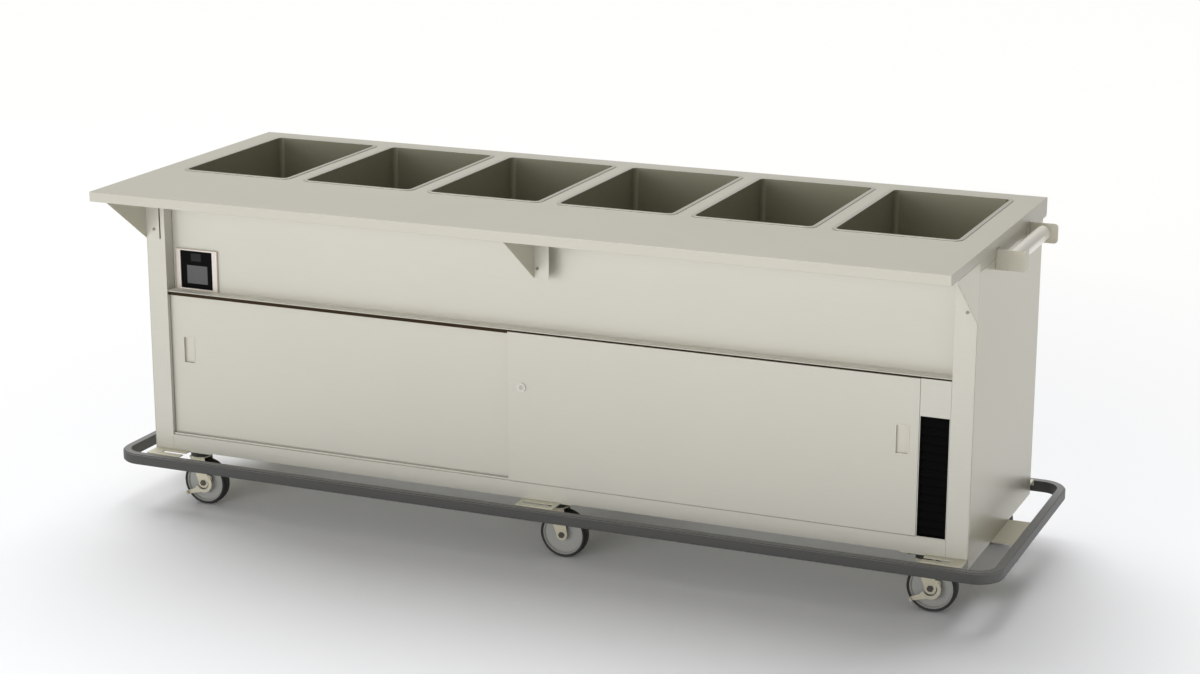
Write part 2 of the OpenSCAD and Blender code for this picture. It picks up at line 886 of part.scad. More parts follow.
// cross member: plate under the deck with turned-down sides, and a slotted
// tongue with a lug out to each long run of the bumper
module cross_member(x, w, tongue_x, tongue_w, slot_x, slot_l) {
  reach = bumper_reach - bumper_t - seam;
  difference() {
    union() {
      block([x, cab_y + cut, member_z], [w, cab_d - 2 * cut, member_t]);
      for (side = [x, x + w - member_t])
        block(
          [side, cab_y + stile_w, member_z - member_side],
          [member_t, cab_d - 2 * stile_w, member_side + cut]
        );
      block([tongue_x, mid_y - cab_d / 2 - reach, member_z], [tongue_w, cab_d + 2 * reach, member_t]);
      for (s = [-1, 1])
        block(
          [
            tongue_x,
            mid_y + s * (cab_d / 2 + reach - member_t / 2) - member_t / 2,
            member_z + member_t - lug_h
          ],
          [tongue_w, member_t, lug_h]
        );
    }
    for (s = [-1, 1])
      block(
        [slot_x, mid_y + s * (cab_d / 2 + reach / 2) - slot_w / 2, member_z - cut],
        [slot_l, slot_w, member_t + 2 * cut]
      );
  }
}

module end_cross_member() {
  tongue_x = member_x + end_member_w - end_tongue_w;
  cross_member(
    member_x,
    end_member_w,
    tongue_x,
    end_tongue_w,
    tongue_x - cut,
    end_tongue_w - 3 * slot_edge
  );
}

module cross_members() {
  color([0.68, 0.67, 0.6])
  union() {
    end_cross_member();
    mirror([1, 0, 0]) end_cross_member();
    cross_member(
      mid_member_x,
      mid_member_w,
      mid_member_x,
      mid_tongue_w,
      mid_member_x + slot_edge,
      mid_tongue_w - 2 * slot_edge
    );
  }
}

// plate from under the end panel's flange out to the bumper's end run
module end_bracket() {
  low_x = end_x - drop_h / 2;
  long = end_x + bumper_end - bumper_t - seam - low_x;
  union() {
    block([low_x, mid_y - end_plate_w / 2, plate_z], [long, end_plate_w, member_t]);
    block([low_x + long - member_t, mid_y - end_plate_w / 2, plate_z], [member_t, end_plate_w, lug_h]);
  }
}

module end_brackets() {
  color([0.68, 0.67, 0.6])
  union() {
    end_bracket();
    mirror([1, 0, 0]) end_bracket();
  }
}

// Casters

// top plates with raceway and king pin
module caster_plates() {
  color([0.62, 0.62, 0.6])
  for (n = [0 : 5])
    translate(caster_place(n))
      union() {
        translate([0, 0, swivel_h - plate_t - seam]) round_plate(plate_w, plate_d, plate_t, bracket_r);
        translate([0, 0, swivel_h - plate_t - race_h + cut / 2]) cylinder(r = race_r, h = race_h);
        translate([0, 0, crown_z - crown_t / 2]) cylinder(r = king_r, h = race_h + crown_t * 1.5);
        translate([0, 0, crown_z - crown_t]) cylinder(r = king_r * 1.8, h = crown_t - seam);
      }
}

// fork: crown with king pin hole, two tapered legs and the axle bolt
module fork(n, braked = false) {
  leg_top = 23;
  color([0.74, 0.71, 0.63])
  translate(caster_place(n))
  union() {
    difference() {
      union() {
        translate([0, 0, crown_z]) cylinder(r = race_r, h = crown_t);
        translate([-leg_top, -fork_w / 2, crown_z]) cube([2 * leg_top, fork_w, crown_t]);
      }
      translate([0, 0, crown_z - cut]) cylinder(r = king_r + run, h = crown_t + 2 * cut);
    }
    for (s = [0, 1])
      translate([0, s * (fork_w - leg_t) - fork_w / 2, 0])
        side_sheet(leg_t)
          union() {
            polygon([
              [-leg_top, crown_z + crown_t],
              [leg_top, crown_z + crown_t],
              [trail + eye_r, wheel_r + eye_r * 0.2],
              [trail + eye_r * 0.6, wheel_r - eye_r * 0.75],
              [trail - eye_r, wheel_r]
            ]);
            translate([trail, wheel_r]) circle(r = eye_r);
            if (braked && s == 0)
              translate([trail + brake_pin.x, wheel_r + brake_pin.y]) circle(r = eye_r * 0.55);
          }
    if (braked)
      translate([trail + brake_pin.x, -fork_w / 2 + cut, wheel_r + brake_pin.y]) rotate([90, 0, 0])
        cylinder(r = brake_pin_r, h = leg_t + 2 * seam + 2 * cut);
    translate([trail, fork_w / 2, wheel_r]) rotate([90, 0, 0]) cylinder(r = axle_r, h = fork_w);
    for (s = [-1, 1])
      translate([trail, s * fork_w / 2, wheel_r]) rotate([s * -90, 0, 0])
        translate([0, 0, -cut]) cylinder(r = axle_r * 1.7, h = head_h + cut, $fn = 6);
  }
}

// wheel disc: hub, thin web and rim, turned about the axle
module wheel(n) {
  rim_w = tyre_w * 0.86;
  web_t = disc_t * 0.6;
  color([0.63, 0.63, 0.62])
  translate(caster_place(n)) translate([trail, 0, wheel_r]) rotate([90, 0, 0])
  rotate_extrude()
    polygon([
      [axle_r + run, -hub_l / 2],
      [hub_r, -hub_l / 2],
      [hub_r + cut, -web_t / 2 - cut],
      [wheel_core - tyre_t / 2, -web_t / 2],
      [wheel_core - tyre_t / 4, -rim_w / 2],
      [wheel_core, -rim_w / 2],
      [wheel_core, rim_w / 2],
      [wheel_core - tyre_t / 4, rim_w / 2],
      [wheel_core - tyre_t / 2, web_t / 2],
      [hub_r + cut, web_t / 2 + cut],
      [hub_r, hub_l / 2],
      [axle_r + run, hub_l / 2]
    ]);
}

module tyre(n) {
  soft = tyre_w * 0.12;
  color([0.09, 0.09, 0.09])
  translate(caster_place(n)) translate([trail, 0, wheel_r]) rotate([90, 0, 0])
  rotate_extrude()
    polygon([
      [wheel_core + run, -tyre_w / 2],
      [wheel_r - soft, -tyre_w / 2],
      [wheel_r - soft * 0.3, -tyre_w / 2 + soft * 0.4],
      [wheel_r, -tyre_w / 2 + soft * 1.4],
      [wheel_r, tyre_w / 2 - soft * 1.4],
      [wheel_r - soft * 0.3, tyre_w / 2 - soft * 0.4],
      [wheel_r - soft, tyre_w / 2],
      [wheel_core + run, tyre_w / 2]
    ]);
}

// brake lever: an arm curved round the axle boss with a toe tab
module brake(n) {
  pin = brake_pin;
  tip = [-wheel_core * 0.9, -wheel_core * 0.5];
  color([0.76, 0.73, 0.66])
  translate(caster_place(n)) translate([trail, -fork_w / 2 - seam - leg_t, wheel_r])
  union() {
    difference() {
      side_sheet(leg_t)
        union() {
          difference() {
            circle(r = arm_r + arm_w / 2);
            circle(r = arm_r - arm_w / 2);
            polygon([
              [0, 0],
              2.4 * pin,
              [pin.x - 2 * arm_r, 3 * arm_r],
              [-3 * arm_r, 0],
              2 * tip
            ]);
          }
          translate(pin) circle(r = arm_w * 0.6);
          polygon([
            tip,
            tip + [arm_w * 0.5, -arm_w],
            [-arm_r * 0.3, -arm_r - arm_w * 0.4],
            [-arm_r * 0.75, -arm_r * 0.6]
          ]);
        }
      translate([pin.x, -cut, pin.y]) rotate([-90, 0, 0])
        cylinder(r = brake_pin_r + run, h = leg_t + 2 * cut);
    }
    translate([0, -arm_w, 0])
      side_sheet(arm_w + cut)
        polygon([
          tip,
          tip + [arm_w * 0.5, -arm_w],
          tip + [arm_w * 0.8, -arm_w * 0.6],
          tip + [arm_w * 0.3, arm_w * 0.15]
        ]);
  }
}

countertop();
well_pan(0);  // well_pan_1
well_pan(1);  // well_pan_2
well_pan(2);  // well_pan_3
well_pan(3);  // well_pan_4
well_pan(4);  // well_pan_5
well_pan(5);  // well_pan_6
heating_plates();
drain_manifold();
valve_body();
valve_lever();
end_panel(-1);  // end_panel_left
end_panel(1);  // end_panel_right
back_panel();
bottom_deck();
front_stiles();
fascia();
bottom_rail();
vent_post();
vent_grille();
door_tracks();
door_left();
door_right();
flush_pull(pull_l_x, door_back_y);  // pull_left
flush_pull(pull_r_x, cab_y);  // pull_right
lock_housing();
lock_plug();
control_bezel();
control_module();
display_window();
gusset_brackets();
gusset_screws();
handle_tube();
handle_brackets();
bumper();
cross_members();
end_brackets();
caster_plates();
fork(0, true);  // fork_1
wheel(0);  // wheel_1
tyre(0);  // tyre_1
fork(1);  // fork_2
wheel(1);  // wheel_2
tyre(1);  // tyre_2
fork(2, true);  // fork_3
wheel(2);  // wheel_3
tyre(2);  // tyre_3
fork(3);  // fork_4
wheel(3);  // wheel_4
tyre(3);  // tyre_4
fork(4);  // fork_5
wheel(4);  // wheel_5
tyre(4);  // tyre_5
fork(5);  // fork_6
wheel(5);  // wheel_6
tyre(5);  // tyre_6
brake(0);  // brake_1
brake(2);  // brake_3
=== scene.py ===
"""Looks of a mobile steam table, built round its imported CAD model.

The model is loaded as a fixed frame. Sheet-metal nodes get copies with rounded
edges, the wheels get finely turned copies, and small fittings are added. Every
surface has a procedural finish.
"""
import logging
import math
from dataclasses import dataclass
from enum import Enum
from typing import Iterable, Optional, Sequence

import bmesh
import bpy
from mathutils import Matrix, Vector


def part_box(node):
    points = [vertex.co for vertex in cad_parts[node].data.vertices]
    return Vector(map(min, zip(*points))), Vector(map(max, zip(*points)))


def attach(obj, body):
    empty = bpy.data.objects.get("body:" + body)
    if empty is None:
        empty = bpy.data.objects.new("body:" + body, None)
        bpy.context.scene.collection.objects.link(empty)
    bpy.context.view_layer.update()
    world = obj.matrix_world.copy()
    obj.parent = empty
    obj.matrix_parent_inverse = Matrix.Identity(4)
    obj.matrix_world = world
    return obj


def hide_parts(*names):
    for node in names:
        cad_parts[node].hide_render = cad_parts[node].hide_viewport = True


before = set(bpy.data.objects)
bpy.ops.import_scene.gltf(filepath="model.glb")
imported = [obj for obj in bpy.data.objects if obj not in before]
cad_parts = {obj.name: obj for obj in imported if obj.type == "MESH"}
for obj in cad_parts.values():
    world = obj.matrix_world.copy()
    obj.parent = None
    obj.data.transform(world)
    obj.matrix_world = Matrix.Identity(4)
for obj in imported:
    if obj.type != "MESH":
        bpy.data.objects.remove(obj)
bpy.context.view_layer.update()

LOG = logging.getLogger("steam_table")
MM = 0.001
WELL_NUMBERS = range(1, 7)
CASTER_NUMBERS = range(1, 7)
BRAKED_CASTERS = (1, 3)


class Grain(Enum):
    """Direction in which a sheet is brushed, as noise scales along X, Y and Z."""

    ALONG_X = (3.0, 260.0, 260.0)
    ALONG_Y = (260.0, 3.0, 260.0)
    ALONG_Z = (260.0, 260.0, 3.0)
    NONE = (60.0, 60.0, 60.0)


class Way(Enum):
    """A way in which a face may look."""

    FRONT = (0.0, -1.0, 0.0)
    UP = (0.0, 0.0, 1.0)


@dataclass(frozen=True)
class Finish:
    """A surface finish.

    Args:
        name: name of the material.
        slot: material slot of the record that the finish belongs to; not used.
        colour: base colour as sRGB values from 0 to 255.
        metallic: share of metal, 0 to 1.
        rough: roughness, 0 to 1.
        grain: direction of the brushing.
        streak: how far the brushing changes the colour.
        cloud: how far slow clouds change the colour.
        bump: strength of the fine relief.
        coat: weight of a clear coat.
        specular: level of the surface's mirror light.
        painted_highlight: how much paler the surface is painted where it looks up or to the
            right, a painted highlight.
    """

    name: str
    slot: str
    colour: tuple[float, float, float]
    metallic: float = 0.0
    rough: float = 0.5
    grain: Grain = Grain.NONE
    streak: float = 0.04
    cloud: float = 0.04
    bump: float = 0.05
    coat: float = 0.0
    specular: float = 0.5
    # Painted highlight: faces that look up or to the right are painted paler.
    painted_highlight: float = 0.0


# Stainless steel sheet

TOP = Finish("top_satin", "top_steel", (185, 182, 170), 0.3, 0.42, Grain.ALONG_X, 0.03, 0.03)
# Worktop's front faces: the top's own steel painted paler, painted light from the front.
APRON_PAINTED_LIGHT = Finish("apron_painted_light", "top_steel", (196, 193, 182), 0.3, 0.42, Grain.ALONG_X, 0.02, 0.02)
FRONT = Finish("front_satin", "body_steel", (205, 203, 193), 0.3, 0.42, Grain.ALONG_X, 0.02, 0.02)
# Fascia's up-facing ledge: the cabinet's steel painted near white, painted light where the ledge
# lies in shade.
LEDGE_PAINTED_LIGHT = Finish("ledge_painted_light", "body_steel", (250, 248, 240), 0.0, 0.6, Grain.ALONG_X, 0.02, 0.02)
DOOR = Finish("door_satin", "door_steel", (205, 202, 192), 0.3, 0.42, Grain.ALONG_X, 0.02, 0.02)
PANEL = Finish(
    "end_polish", "panel_steel", (193, 189, 174), 0.45, 0.32, Grain.NONE, 0.004, 0.02, 0.0
)
# Wells' inside: the rim's steel painted darker, painted shade inside the deep pans.
WELL = Finish("well_painted_shade", "well_steel", (167, 165, 147), 0.6, 0.32, Grain.ALONG_Y, 0.08, 0.06)
RIM = Finish("well_rim", "well_steel", (196, 193, 182), 0.5, 0.3, Grain.NONE, 0.03, 0.02)
BRACKET = Finish(
    "bracket_satin", "bracket_steel", (208, 205, 191), 0.45, 0.4, Grain.ALONG_Z, 0.02, 0.03
)

# Push handle and control

TUBE = Finish("tube_satin", "tube_steel", (240, 236, 227), 0.4, 0.32, Grain.ALONG_Y, 0.03, 0.02)
HANDLE = Finish(
    "handle_satin", "handle_steel", (190, 187, 173), 0.4, 0.36, Grain.ALONG_X, 0.03, 0.02
)
# Handle brackets' front faces: the handle's steel painted paler, painted light from the front.
HANDLE_FRONT_PAINTED_LIGHT = Finish(
    "handle_front_painted_light", "handle_steel", (206, 202, 187), 0.4, 0.36, Grain.ALONG_X, 0.02, 0.02
)
BEZEL = Finish(
    "bezel_satin", "bezel_steel", (220, 212, 204), 0.4, 0.35, Grain.ALONG_Z, 0.02, 0.01
)
CONTROL = Finish(
    "control_gloss", "control_black", (8, 8, 8), 0.0, 0.4, Grain.NONE, 0.1, 0.1, 0.02, 0.0, 0.05
)
MARK = Finish(
    "indicator_dark", "control_black", (44, 44, 45), 0.0, 0.45, Grain.NONE,
    0.05, 0.05, 0.02, 0.0, 0.1,
)
SCREEN = Finish(
    "screen_smoke", "screen_dark", (92, 92, 94), 0.0, 0.35, Grain.NONE, 0.03, 0.05, 0.01, 0.0, 0.3
)

# Doors and vent

PULL = Finish("pull_satin", "pull_steel", (205, 202, 190), 0.45, 0.35, Grain.ALONG_Z, 0.03, 0.02)
LOCK = Finish("lock_bright", "lock_chrome", (214, 212, 204), 0.8, 0.25, Grain.NONE, 0.02, 0.02)
PLUG = Finish(
    "lock_plug_satin", "lock_plug_metal", (190, 188, 178), 0.8, 0.35, Grain.NONE, 0.03, 0.03
)
VENT = Finish(
    "vent_matt", "vent_black", (15, 15, 15), 0.0, 0.9, Grain.NONE, 0.1, 0.1, 0.1, 0.0, 0.04
)
TRACK = Finish(
    "track_dark", "track_dark", (56, 44, 28), 0.0, 0.7, Grain.ALONG_X, 0.06, 0.05, 0.05, 0.0, 0.1
)

# Chassis, bumper and casters

CHASSIS = Finish(
    "chassis_coat", "chassis_beige", (212, 208, 189), 0.3, 0.4, Grain.NONE, 0.03, 0.05
)
# The bumper's last value, 0.8, paints a highlight on its top and right faces.
BUMPER = Finish(
    "bumper_vinyl", "bumper_grey", (74, 74, 73), 0.0, 0.5, Grain.NONE,
    0.05, 0.05, 0.12, 0.0, 0.4, 0.8,
)
TYRE = Finish("tyre_rubber", "tyre_black", (34, 34, 34), 0.0, 0.62, Grain.NONE, 0.12, 0.1, 0.2)
WHEEL = Finish(
    "wheel_nylon", "wheel_grey", (164, 164, 161), 0.1, 0.42, Grain.NONE, 0.04, 0.06, 0.08
)
FORK = Finish("fork_plate", "fork_zinc", (210, 204, 182), 0.45, 0.36, Grain.ALONG_Z, 0.04, 0.06)
BRAKE = Finish("brake_plate", "brake_zinc", (214, 208, 188), 0.45, 0.34, Grain.NONE, 0.04, 0.05)
CASTER = Finish("caster_dark", "caster_zinc", (62, 62, 60), 0.4, 0.45, Grain.NONE, 0.06, 0.08)
BOLT = Finish("bolt_dark", "fastener_steel", (84, 82, 76), 0.6, 0.4, Grain.NONE, 0.05, 0.05)
SCREW = Finish("screw_dull", "fastener_steel", (150, 146, 134), 0.6, 0.4, Grain.NONE, 0.05, 0.05)

# Heating and drain

HEATER = Finish("heater_dull", "heater_metal", (120, 120, 118), 0.6, 0.5, Grain.NONE, 0.06, 0.08)
PIPE = Finish("pipe_satin", "pipe_steel", (175, 174, 168), 0.8, 0.35, Grain.ALONG_X, 0.04, 0.04)
BRASS = Finish("valve_brass", "valve_brass", (190, 158, 92), 0.9, 0.35, Grain.NONE, 0.05, 0.06)
LEVER = Finish("lever_coat", "lever_red", (168, 36, 28), 0.0, 0.35, Grain.NONE, 0.04, 0.05)


def linear(value: float) -> float:
    """Turn one sRGB channel, 0 to 255, into a linear value.

    Args:
        value: the channel.

    Returns:
        The linear value, 0 to 1.
    """
    share = value / 255.0
    return share / 12.92 if share <= 0.04045 else ((share + 0.055) / 1.055) ** 2.4


class MaterialShop:
    """Makes each finish's material once and hands it out."""

    STREAK_SCALE = 4.0
    STREAK_DETAIL = 5.0
    CLOUD_SCALE = 3.5
    CLOUD_DETAIL = 3.0
    RAMP_ENDS = (0.25, 0.75)
    ROUGH_SPREAD = 0.08
    RELIEF = 0.2 * MM
    # Way, range and paleness of the painted highlight on faces that look up or to the right.
    HIGHLIGHT_WAY = (0.55, 0.0, 0.85)
    HIGHLIGHT_RANGE = (0.1, 0.85)
    HIGHLIGHT_PALER = 3.2

    def __init__(self) -> None:
        """Start with an empty shelf."""
        self._made: dict[str, bpy.types.Material] = {}

    def get(self, finish: Finish) -> bpy.types.Material:
        """Return the material of a finish.

        Args:
            finish: the finish.

        Returns:
            Its node material.
        """
        if finish.name not in self._made:
            self._made[finish.name] = self._build(finish)
        return self._made[finish.name]

    def _build(self, finish: Finish) -> bpy.types.Material:
        """Build the node tree of a finish.

        Args:
            finish: the finish.

        Returns:
            The new material.
        """
        material = bpy.data.materials.new(finish.name)
        material.use_nodes = True
        tree = material.node_tree
        nodes, links = tree.nodes, tree.links
        shader = nodes["Principled BSDF"]
        shader.inputs["Metallic"].default_value = finish.metallic
        shader.inputs["Coat Weight"].default_value = finish.coat
        shader.inputs["Specular IOR Level"].default_value = finish.specular
        place = nodes.new("ShaderNodeTexCoord")

        stretch = nodes.new("ShaderNodeMapping")
        stretch.inputs["Scale"].default_value = finish.grain.value
        links.new(place.outputs["Object"], stretch.inputs["Vector"])
        streaks = self._noise(
            tree, stretch.outputs["Vector"], self.STREAK_SCALE, self.STREAK_DETAIL
        )
        clouds = self._noise(tree, place.outputs["Object"], self.CLOUD_SCALE, self.CLOUD_DETAIL)

        colour = tuple(linear(c) for c in finish.colour)
        streak_tint = self._tint(tree, streaks, colour, finish.streak)
        cloud_mix = nodes.new("ShaderNodeMix")
        cloud_mix.data_type = "RGBA"
        cloud_mix.blend_type = "MULTIPLY"
        cloud_mix.inputs["Factor"].default_value = 1.0
        cloud_tint = self._tint(tree, clouds, (1.0, 1.0, 1.0), finish.cloud)
        links.new(streak_tint, cloud_mix.inputs["A"])
        links.new(cloud_tint, cloud_mix.inputs["B"])
        result = cloud_mix.outputs["Result"]
        # Paint a highlight on the faces that look up or to the right.
        if finish.painted_highlight > 0.0:
            result = self._paint_highlight(tree, place.outputs["Normal"], result, colour, finish.painted_highlight)
        links.new(result, shader.inputs["Base Color"])

        rough = nodes.new("ShaderNodeMapRange")
        rough.inputs["To Min"].default_value = finish.rough * (1.0 - self.ROUGH_SPREAD)
        rough.inputs["To Max"].default_value = min(1.0, finish.rough * (1.0 + self.ROUGH_SPREAD))
        links.new(streaks, rough.inputs["Value"])
        links.new(rough.outputs["Result"], shader.inputs["Roughness"])

        bump = nodes.new("ShaderNodeBump")
        bump.inputs["Strength"].default_value = finish.bump
        bump.inputs["Distance"].default_value = self.RELIEF
        links.new(streaks, bump.inputs["Height"])
        links.new(bump.outputs["Normal"], shader.inputs["Normal"])
        return material

    @staticmethod
    def _noise(
        tree: bpy.types.NodeTree, place: bpy.types.NodeSocket, scale: float, detail: float
    ) -> bpy.types.NodeSocket:
        """Add a noise texture.

        Args:
            tree: the node tree.
            place: the coordinates that it reads.
            scale: its scale.
            detail: its detail.

        Returns:
            The noise's factor socket.
        """
        noise = tree.nodes.new("ShaderNodeTexNoise")
        noise.inputs["Scale"].default_value = scale
        noise.inputs["Detail"].default_value = detail
        tree.links.new(place, noise.inputs["Vector"])
        return noise.outputs["Fac"]

    def _paint_highlight(
        self,
        tree: bpy.types.NodeTree,
        normal: bpy.types.NodeSocket,
        below: bpy.types.NodeSocket,
        colour: Sequence[float],
        amount: float,
    ) -> bpy.types.NodeSocket:
        """Paint a highlight: a paler tone on the faces that look up or to the right.

        Args:
            tree: the node tree.
            normal: the object's own normal.
            below: the colour under the painted highlight.
            colour: the linear colour in the middle.
            amount: how strong the painted highlight is.

        Returns:
            The mixed colour socket.
        """
        lean = tree.nodes.new("ShaderNodeVectorMath")
        lean.operation = "DOT_PRODUCT"
        lean.inputs[1].default_value = self.HIGHLIGHT_WAY
        spread = tree.nodes.new("ShaderNodeMapRange")
        spread.inputs["From Min"].default_value = self.HIGHLIGHT_RANGE[0]
        spread.inputs["From Max"].default_value = self.HIGHLIGHT_RANGE[1]
        spread.inputs["To Max"].default_value = amount
        mix = tree.nodes.new("ShaderNodeMix")
        mix.data_type = "RGBA"
        mix.inputs["B"].default_value = (*[min(1.0, c * self.HIGHLIGHT_PALER) for c in colour], 1.0)
        tree.links.new(normal, lean.inputs[0])
        tree.links.new(lean.outputs["Value"], spread.inputs["Value"])
        tree.links.new(spread.outputs["Result"], mix.inputs["Factor"])
        tree.links.new(below, mix.inputs["A"])
        return mix.outputs["Result"]

    def _tint(
        self,
        tree: bpy.types.NodeTree,
        factor: bpy.types.NodeSocket,
        colour: Sequence[float],
        spread: float,
    ) -> bpy.types.NodeSocket:
        """Add a ramp that varies a colour's brightness by a factor.

        Args:
            tree: the node tree.
            factor: the socket that drives the ramp.
            colour: the linear colour in the middle.
            spread: how far the ends lie from the middle.

        Returns:
            The ramp's colour socket.
        """
        ramp = tree.nodes.new("ShaderNodeValToRGB")
        low, high = ramp.color_ramp.elements
        low.position, high.position = self.RAMP_ENDS
        low.color = (*[max(0.0, c * (1.0 - spread)) for c in colour], 1.0)
        high.color = (*[min(1.0, c * (1.0 + spread)) for c in colour], 1.0)
        tree.links.new(factor, ramp.inputs["Fac"])
        return ramp.outputs["Color"]


SHOP = MaterialShop()


def corners(node: str) -> tuple[Vector, Vector]:
    """Return a CAD node's lowest and highest corners.

    Args:
        node: the node.

    Returns:
        The two corners.
    """
    low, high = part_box(node)
    return Vector(low), Vector(high)


def middle_of(node: str) -> Vector:
    """Return the middle of a CAD node's box.

    Args:
        node: the node.

    Returns:
        The middle.
    """
    low, high = corners(node)
    return (low + high) / 2


def add_object(
    name: str, bm: bmesh.types.BMesh, finish: Finish, body: str
) -> bpy.types.Object:
    """Turn a mesh into an object that rides on a body.

    Args:
        name: name of the piece.
        bm: its mesh; it is freed.
        finish: its finish.
        body: the CAD body that carries it.

    Returns:
        The new object.
    """
    mesh = bpy.data.meshes.new(name)
    bm.to_mesh(mesh)
    bm.free()
    mesh.materials.append(SHOP.get(finish))
    piece = bpy.data.objects.new(name, mesh)
    bpy.context.scene.collection.objects.link(piece)
    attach(piece, body)
    LOG.info("made %s on %s", name, body)
    return piece


def repaint(mesh: bpy.types.Mesh, finish: Finish, chosen: Iterable[int]) -> None:
    """Give some faces of a mesh a second finish.

    Args:
        mesh: the mesh.
        finish: the second finish.
        chosen: the numbers of the faces.
    """
    mesh.materials.append(SHOP.get(finish))
    for number in chosen:
        mesh.polygons[number].material_index = 1


def smooth_by_angle(bm: bmesh.types.BMesh, degrees: float) -> None:
    """Shade faces smooth and keep edges sharper than an angle sharp.

    Args:
        bm: the mesh.
        degrees: the angle.
    """
    limit = math.radians(degrees)
    for face in bm.faces:
        face.smooth = True
    for edge in bm.edges:
        edge.smooth = len(edge.link_faces) == 2 and edge.calc_face_angle(0.0) < limit


MERGE_DISTANCE = 1e-6
FLAT_DEGREES = 0.4
SHARP_DEGREES = 50.0
SKIN_SMOOTH_DEGREES = 20.0
BEVEL_SEGMENTS = 2
BOLT_SIDES = 6
UP = Vector((0.0, 0.0, 1.0))


def soften(bm: bmesh.types.BMesh, edges: list[bmesh.types.BMEdge], width: float) -> None:
    """Round some edges of a mesh.

    Args:
        bm: the mesh.
        edges: the edges.
        width: width of the rounding in metres.
    """
    bmesh.ops.bevel(
        bm, geom=edges, offset=width, offset_type="OFFSET", segments=BEVEL_SEGMENTS,
        profile=0.5, affect="EDGES", clamp_overlap=True, material=-1,
    )


def rounded_copy(
    node: str, name: str, finish: Finish, body: str, width: float
) -> bpy.types.Object:
    """Replace a CAD node by a copy whose sharp edges are rounded.

    Args:
        node: the CAD node.
        name: name of the copy.
        finish: its finish.
        body: the body that carries it.
        width: width of the rounding in metres.

    Returns:
        The copy.
    """
    bm = bmesh.new()
    bm.from_mesh(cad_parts[node].data)
    bmesh.ops.remove_doubles(bm, verts=bm.verts, dist=MERGE_DISTANCE)
    bmesh.ops.dissolve_limit(
        bm, angle_limit=math.radians(FLAT_DEGREES), verts=bm.verts, edges=bm.edges,
        use_dissolve_boundaries=False,
    )
    limit = math.radians(SHARP_DEGREES)
    sharp = [e for e in bm.edges if len(e.link_faces) == 2 and e.calc_face_angle(0.0) > limit]
    soften(bm, sharp, width)
    bmesh.ops.recalc_face_normals(bm, faces=bm.faces)
    smooth_by_angle(bm, SKIN_SMOOTH_DEGREES)
    piece = add_object(name, bm, finish, body)
    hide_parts(node)
    return piece


def both_sides(
    side: Sequence[tuple[float, float]], crown: Sequence[tuple[float, float]] = ()
) -> list[tuple[float, float]]:
    """Complete one side of a turned outline with its mirror image.

    Args:
        side: radius and distance from the middle, from the axis outwards.
        crown: points between the two sides.

    Returns:
        The whole outline, as radius and place along the axis.
    """
    low = [(radius, -along) for radius, along in side]
    return low + list(crown) + [(radius, along) for radius, along in reversed(side)]


def turned(
    bm: bmesh.types.BMesh, profile: Sequence[tuple[float, float]], centre: Vector, steps: int
) -> None:
    """Add a ring turned about an axis along Y.

    Args:
        bm: the mesh to add to.
        profile: closed outline as radius and place along Y, in metres.
        centre: middle of the ring.
        steps: faces round the ring.
    """
    verts = [bm.verts.new(centre + Vector((radius, along, 0.0))) for radius, along in profile]
    edges = [bm.edges.new(pair) for pair in zip(verts, verts[1:] + verts[:1])]
    bmesh.ops.spin(
        bm, geom=edges + verts, cent=centre, axis=(0.0, 1.0, 0.0), dvec=(0.0, 0.0, 0.0),
        angle=math.tau, steps=steps, use_merge=True, use_normal_flip=False, use_duplicate=False,
    )
    bmesh.ops.recalc_face_normals(bm, faces=bm.faces)


def bolt_head(
    bm: bmesh.types.BMesh, radius: float, height: float, seat: Vector, soft: float
) -> None:
    """Add a hexagon head that hangs from a surface.

    Args:
        bm: the mesh to add to.
        radius: radius over the corners.
        height: height of the head.
        seat: middle of the face that meets the surface.
        soft: width of the rounded edge at the low end.
    """
    turn = UP.rotation_difference(-UP).to_matrix().to_4x4()
    made = bmesh.ops.create_cone(
        bm, cap_ends=True, cap_tris=False, segments=BOLT_SIDES, radius1=radius, radius2=radius,
        depth=height, matrix=Matrix.Translation(seat - UP * (height / 2)) @ turn,
    )
    far = {v for v in made["verts"] if v.co.z < seat.z - height / 2}
    soften(bm, [e for e in bm.edges if e.verts[0] in far and e.verts[1] in far], soft)


def slab(name: str, size: Vector, middle: Vector, finish: Finish) -> bpy.types.Object:
    """Add a thin plain sheet to the cabinet.

    Args:
        name: name of the piece.
        size: its size in metres.
        middle: its middle.
        finish: its finish.

    Returns:
        The new object.
    """
    bm = bmesh.new()
    bmesh.ops.create_cube(bm, size=1.0)
    bmesh.ops.scale(bm, verts=bm.verts, vec=size)
    bmesh.ops.translate(bm, verts=bm.verts, vec=middle)
    return add_object(name, bm, finish, "cabinet")


class Assembly:
    """A group of pieces of the table that is dressed together."""

    def build(self) -> None:
        """Make the pieces of this group."""
        raise NotImplementedError


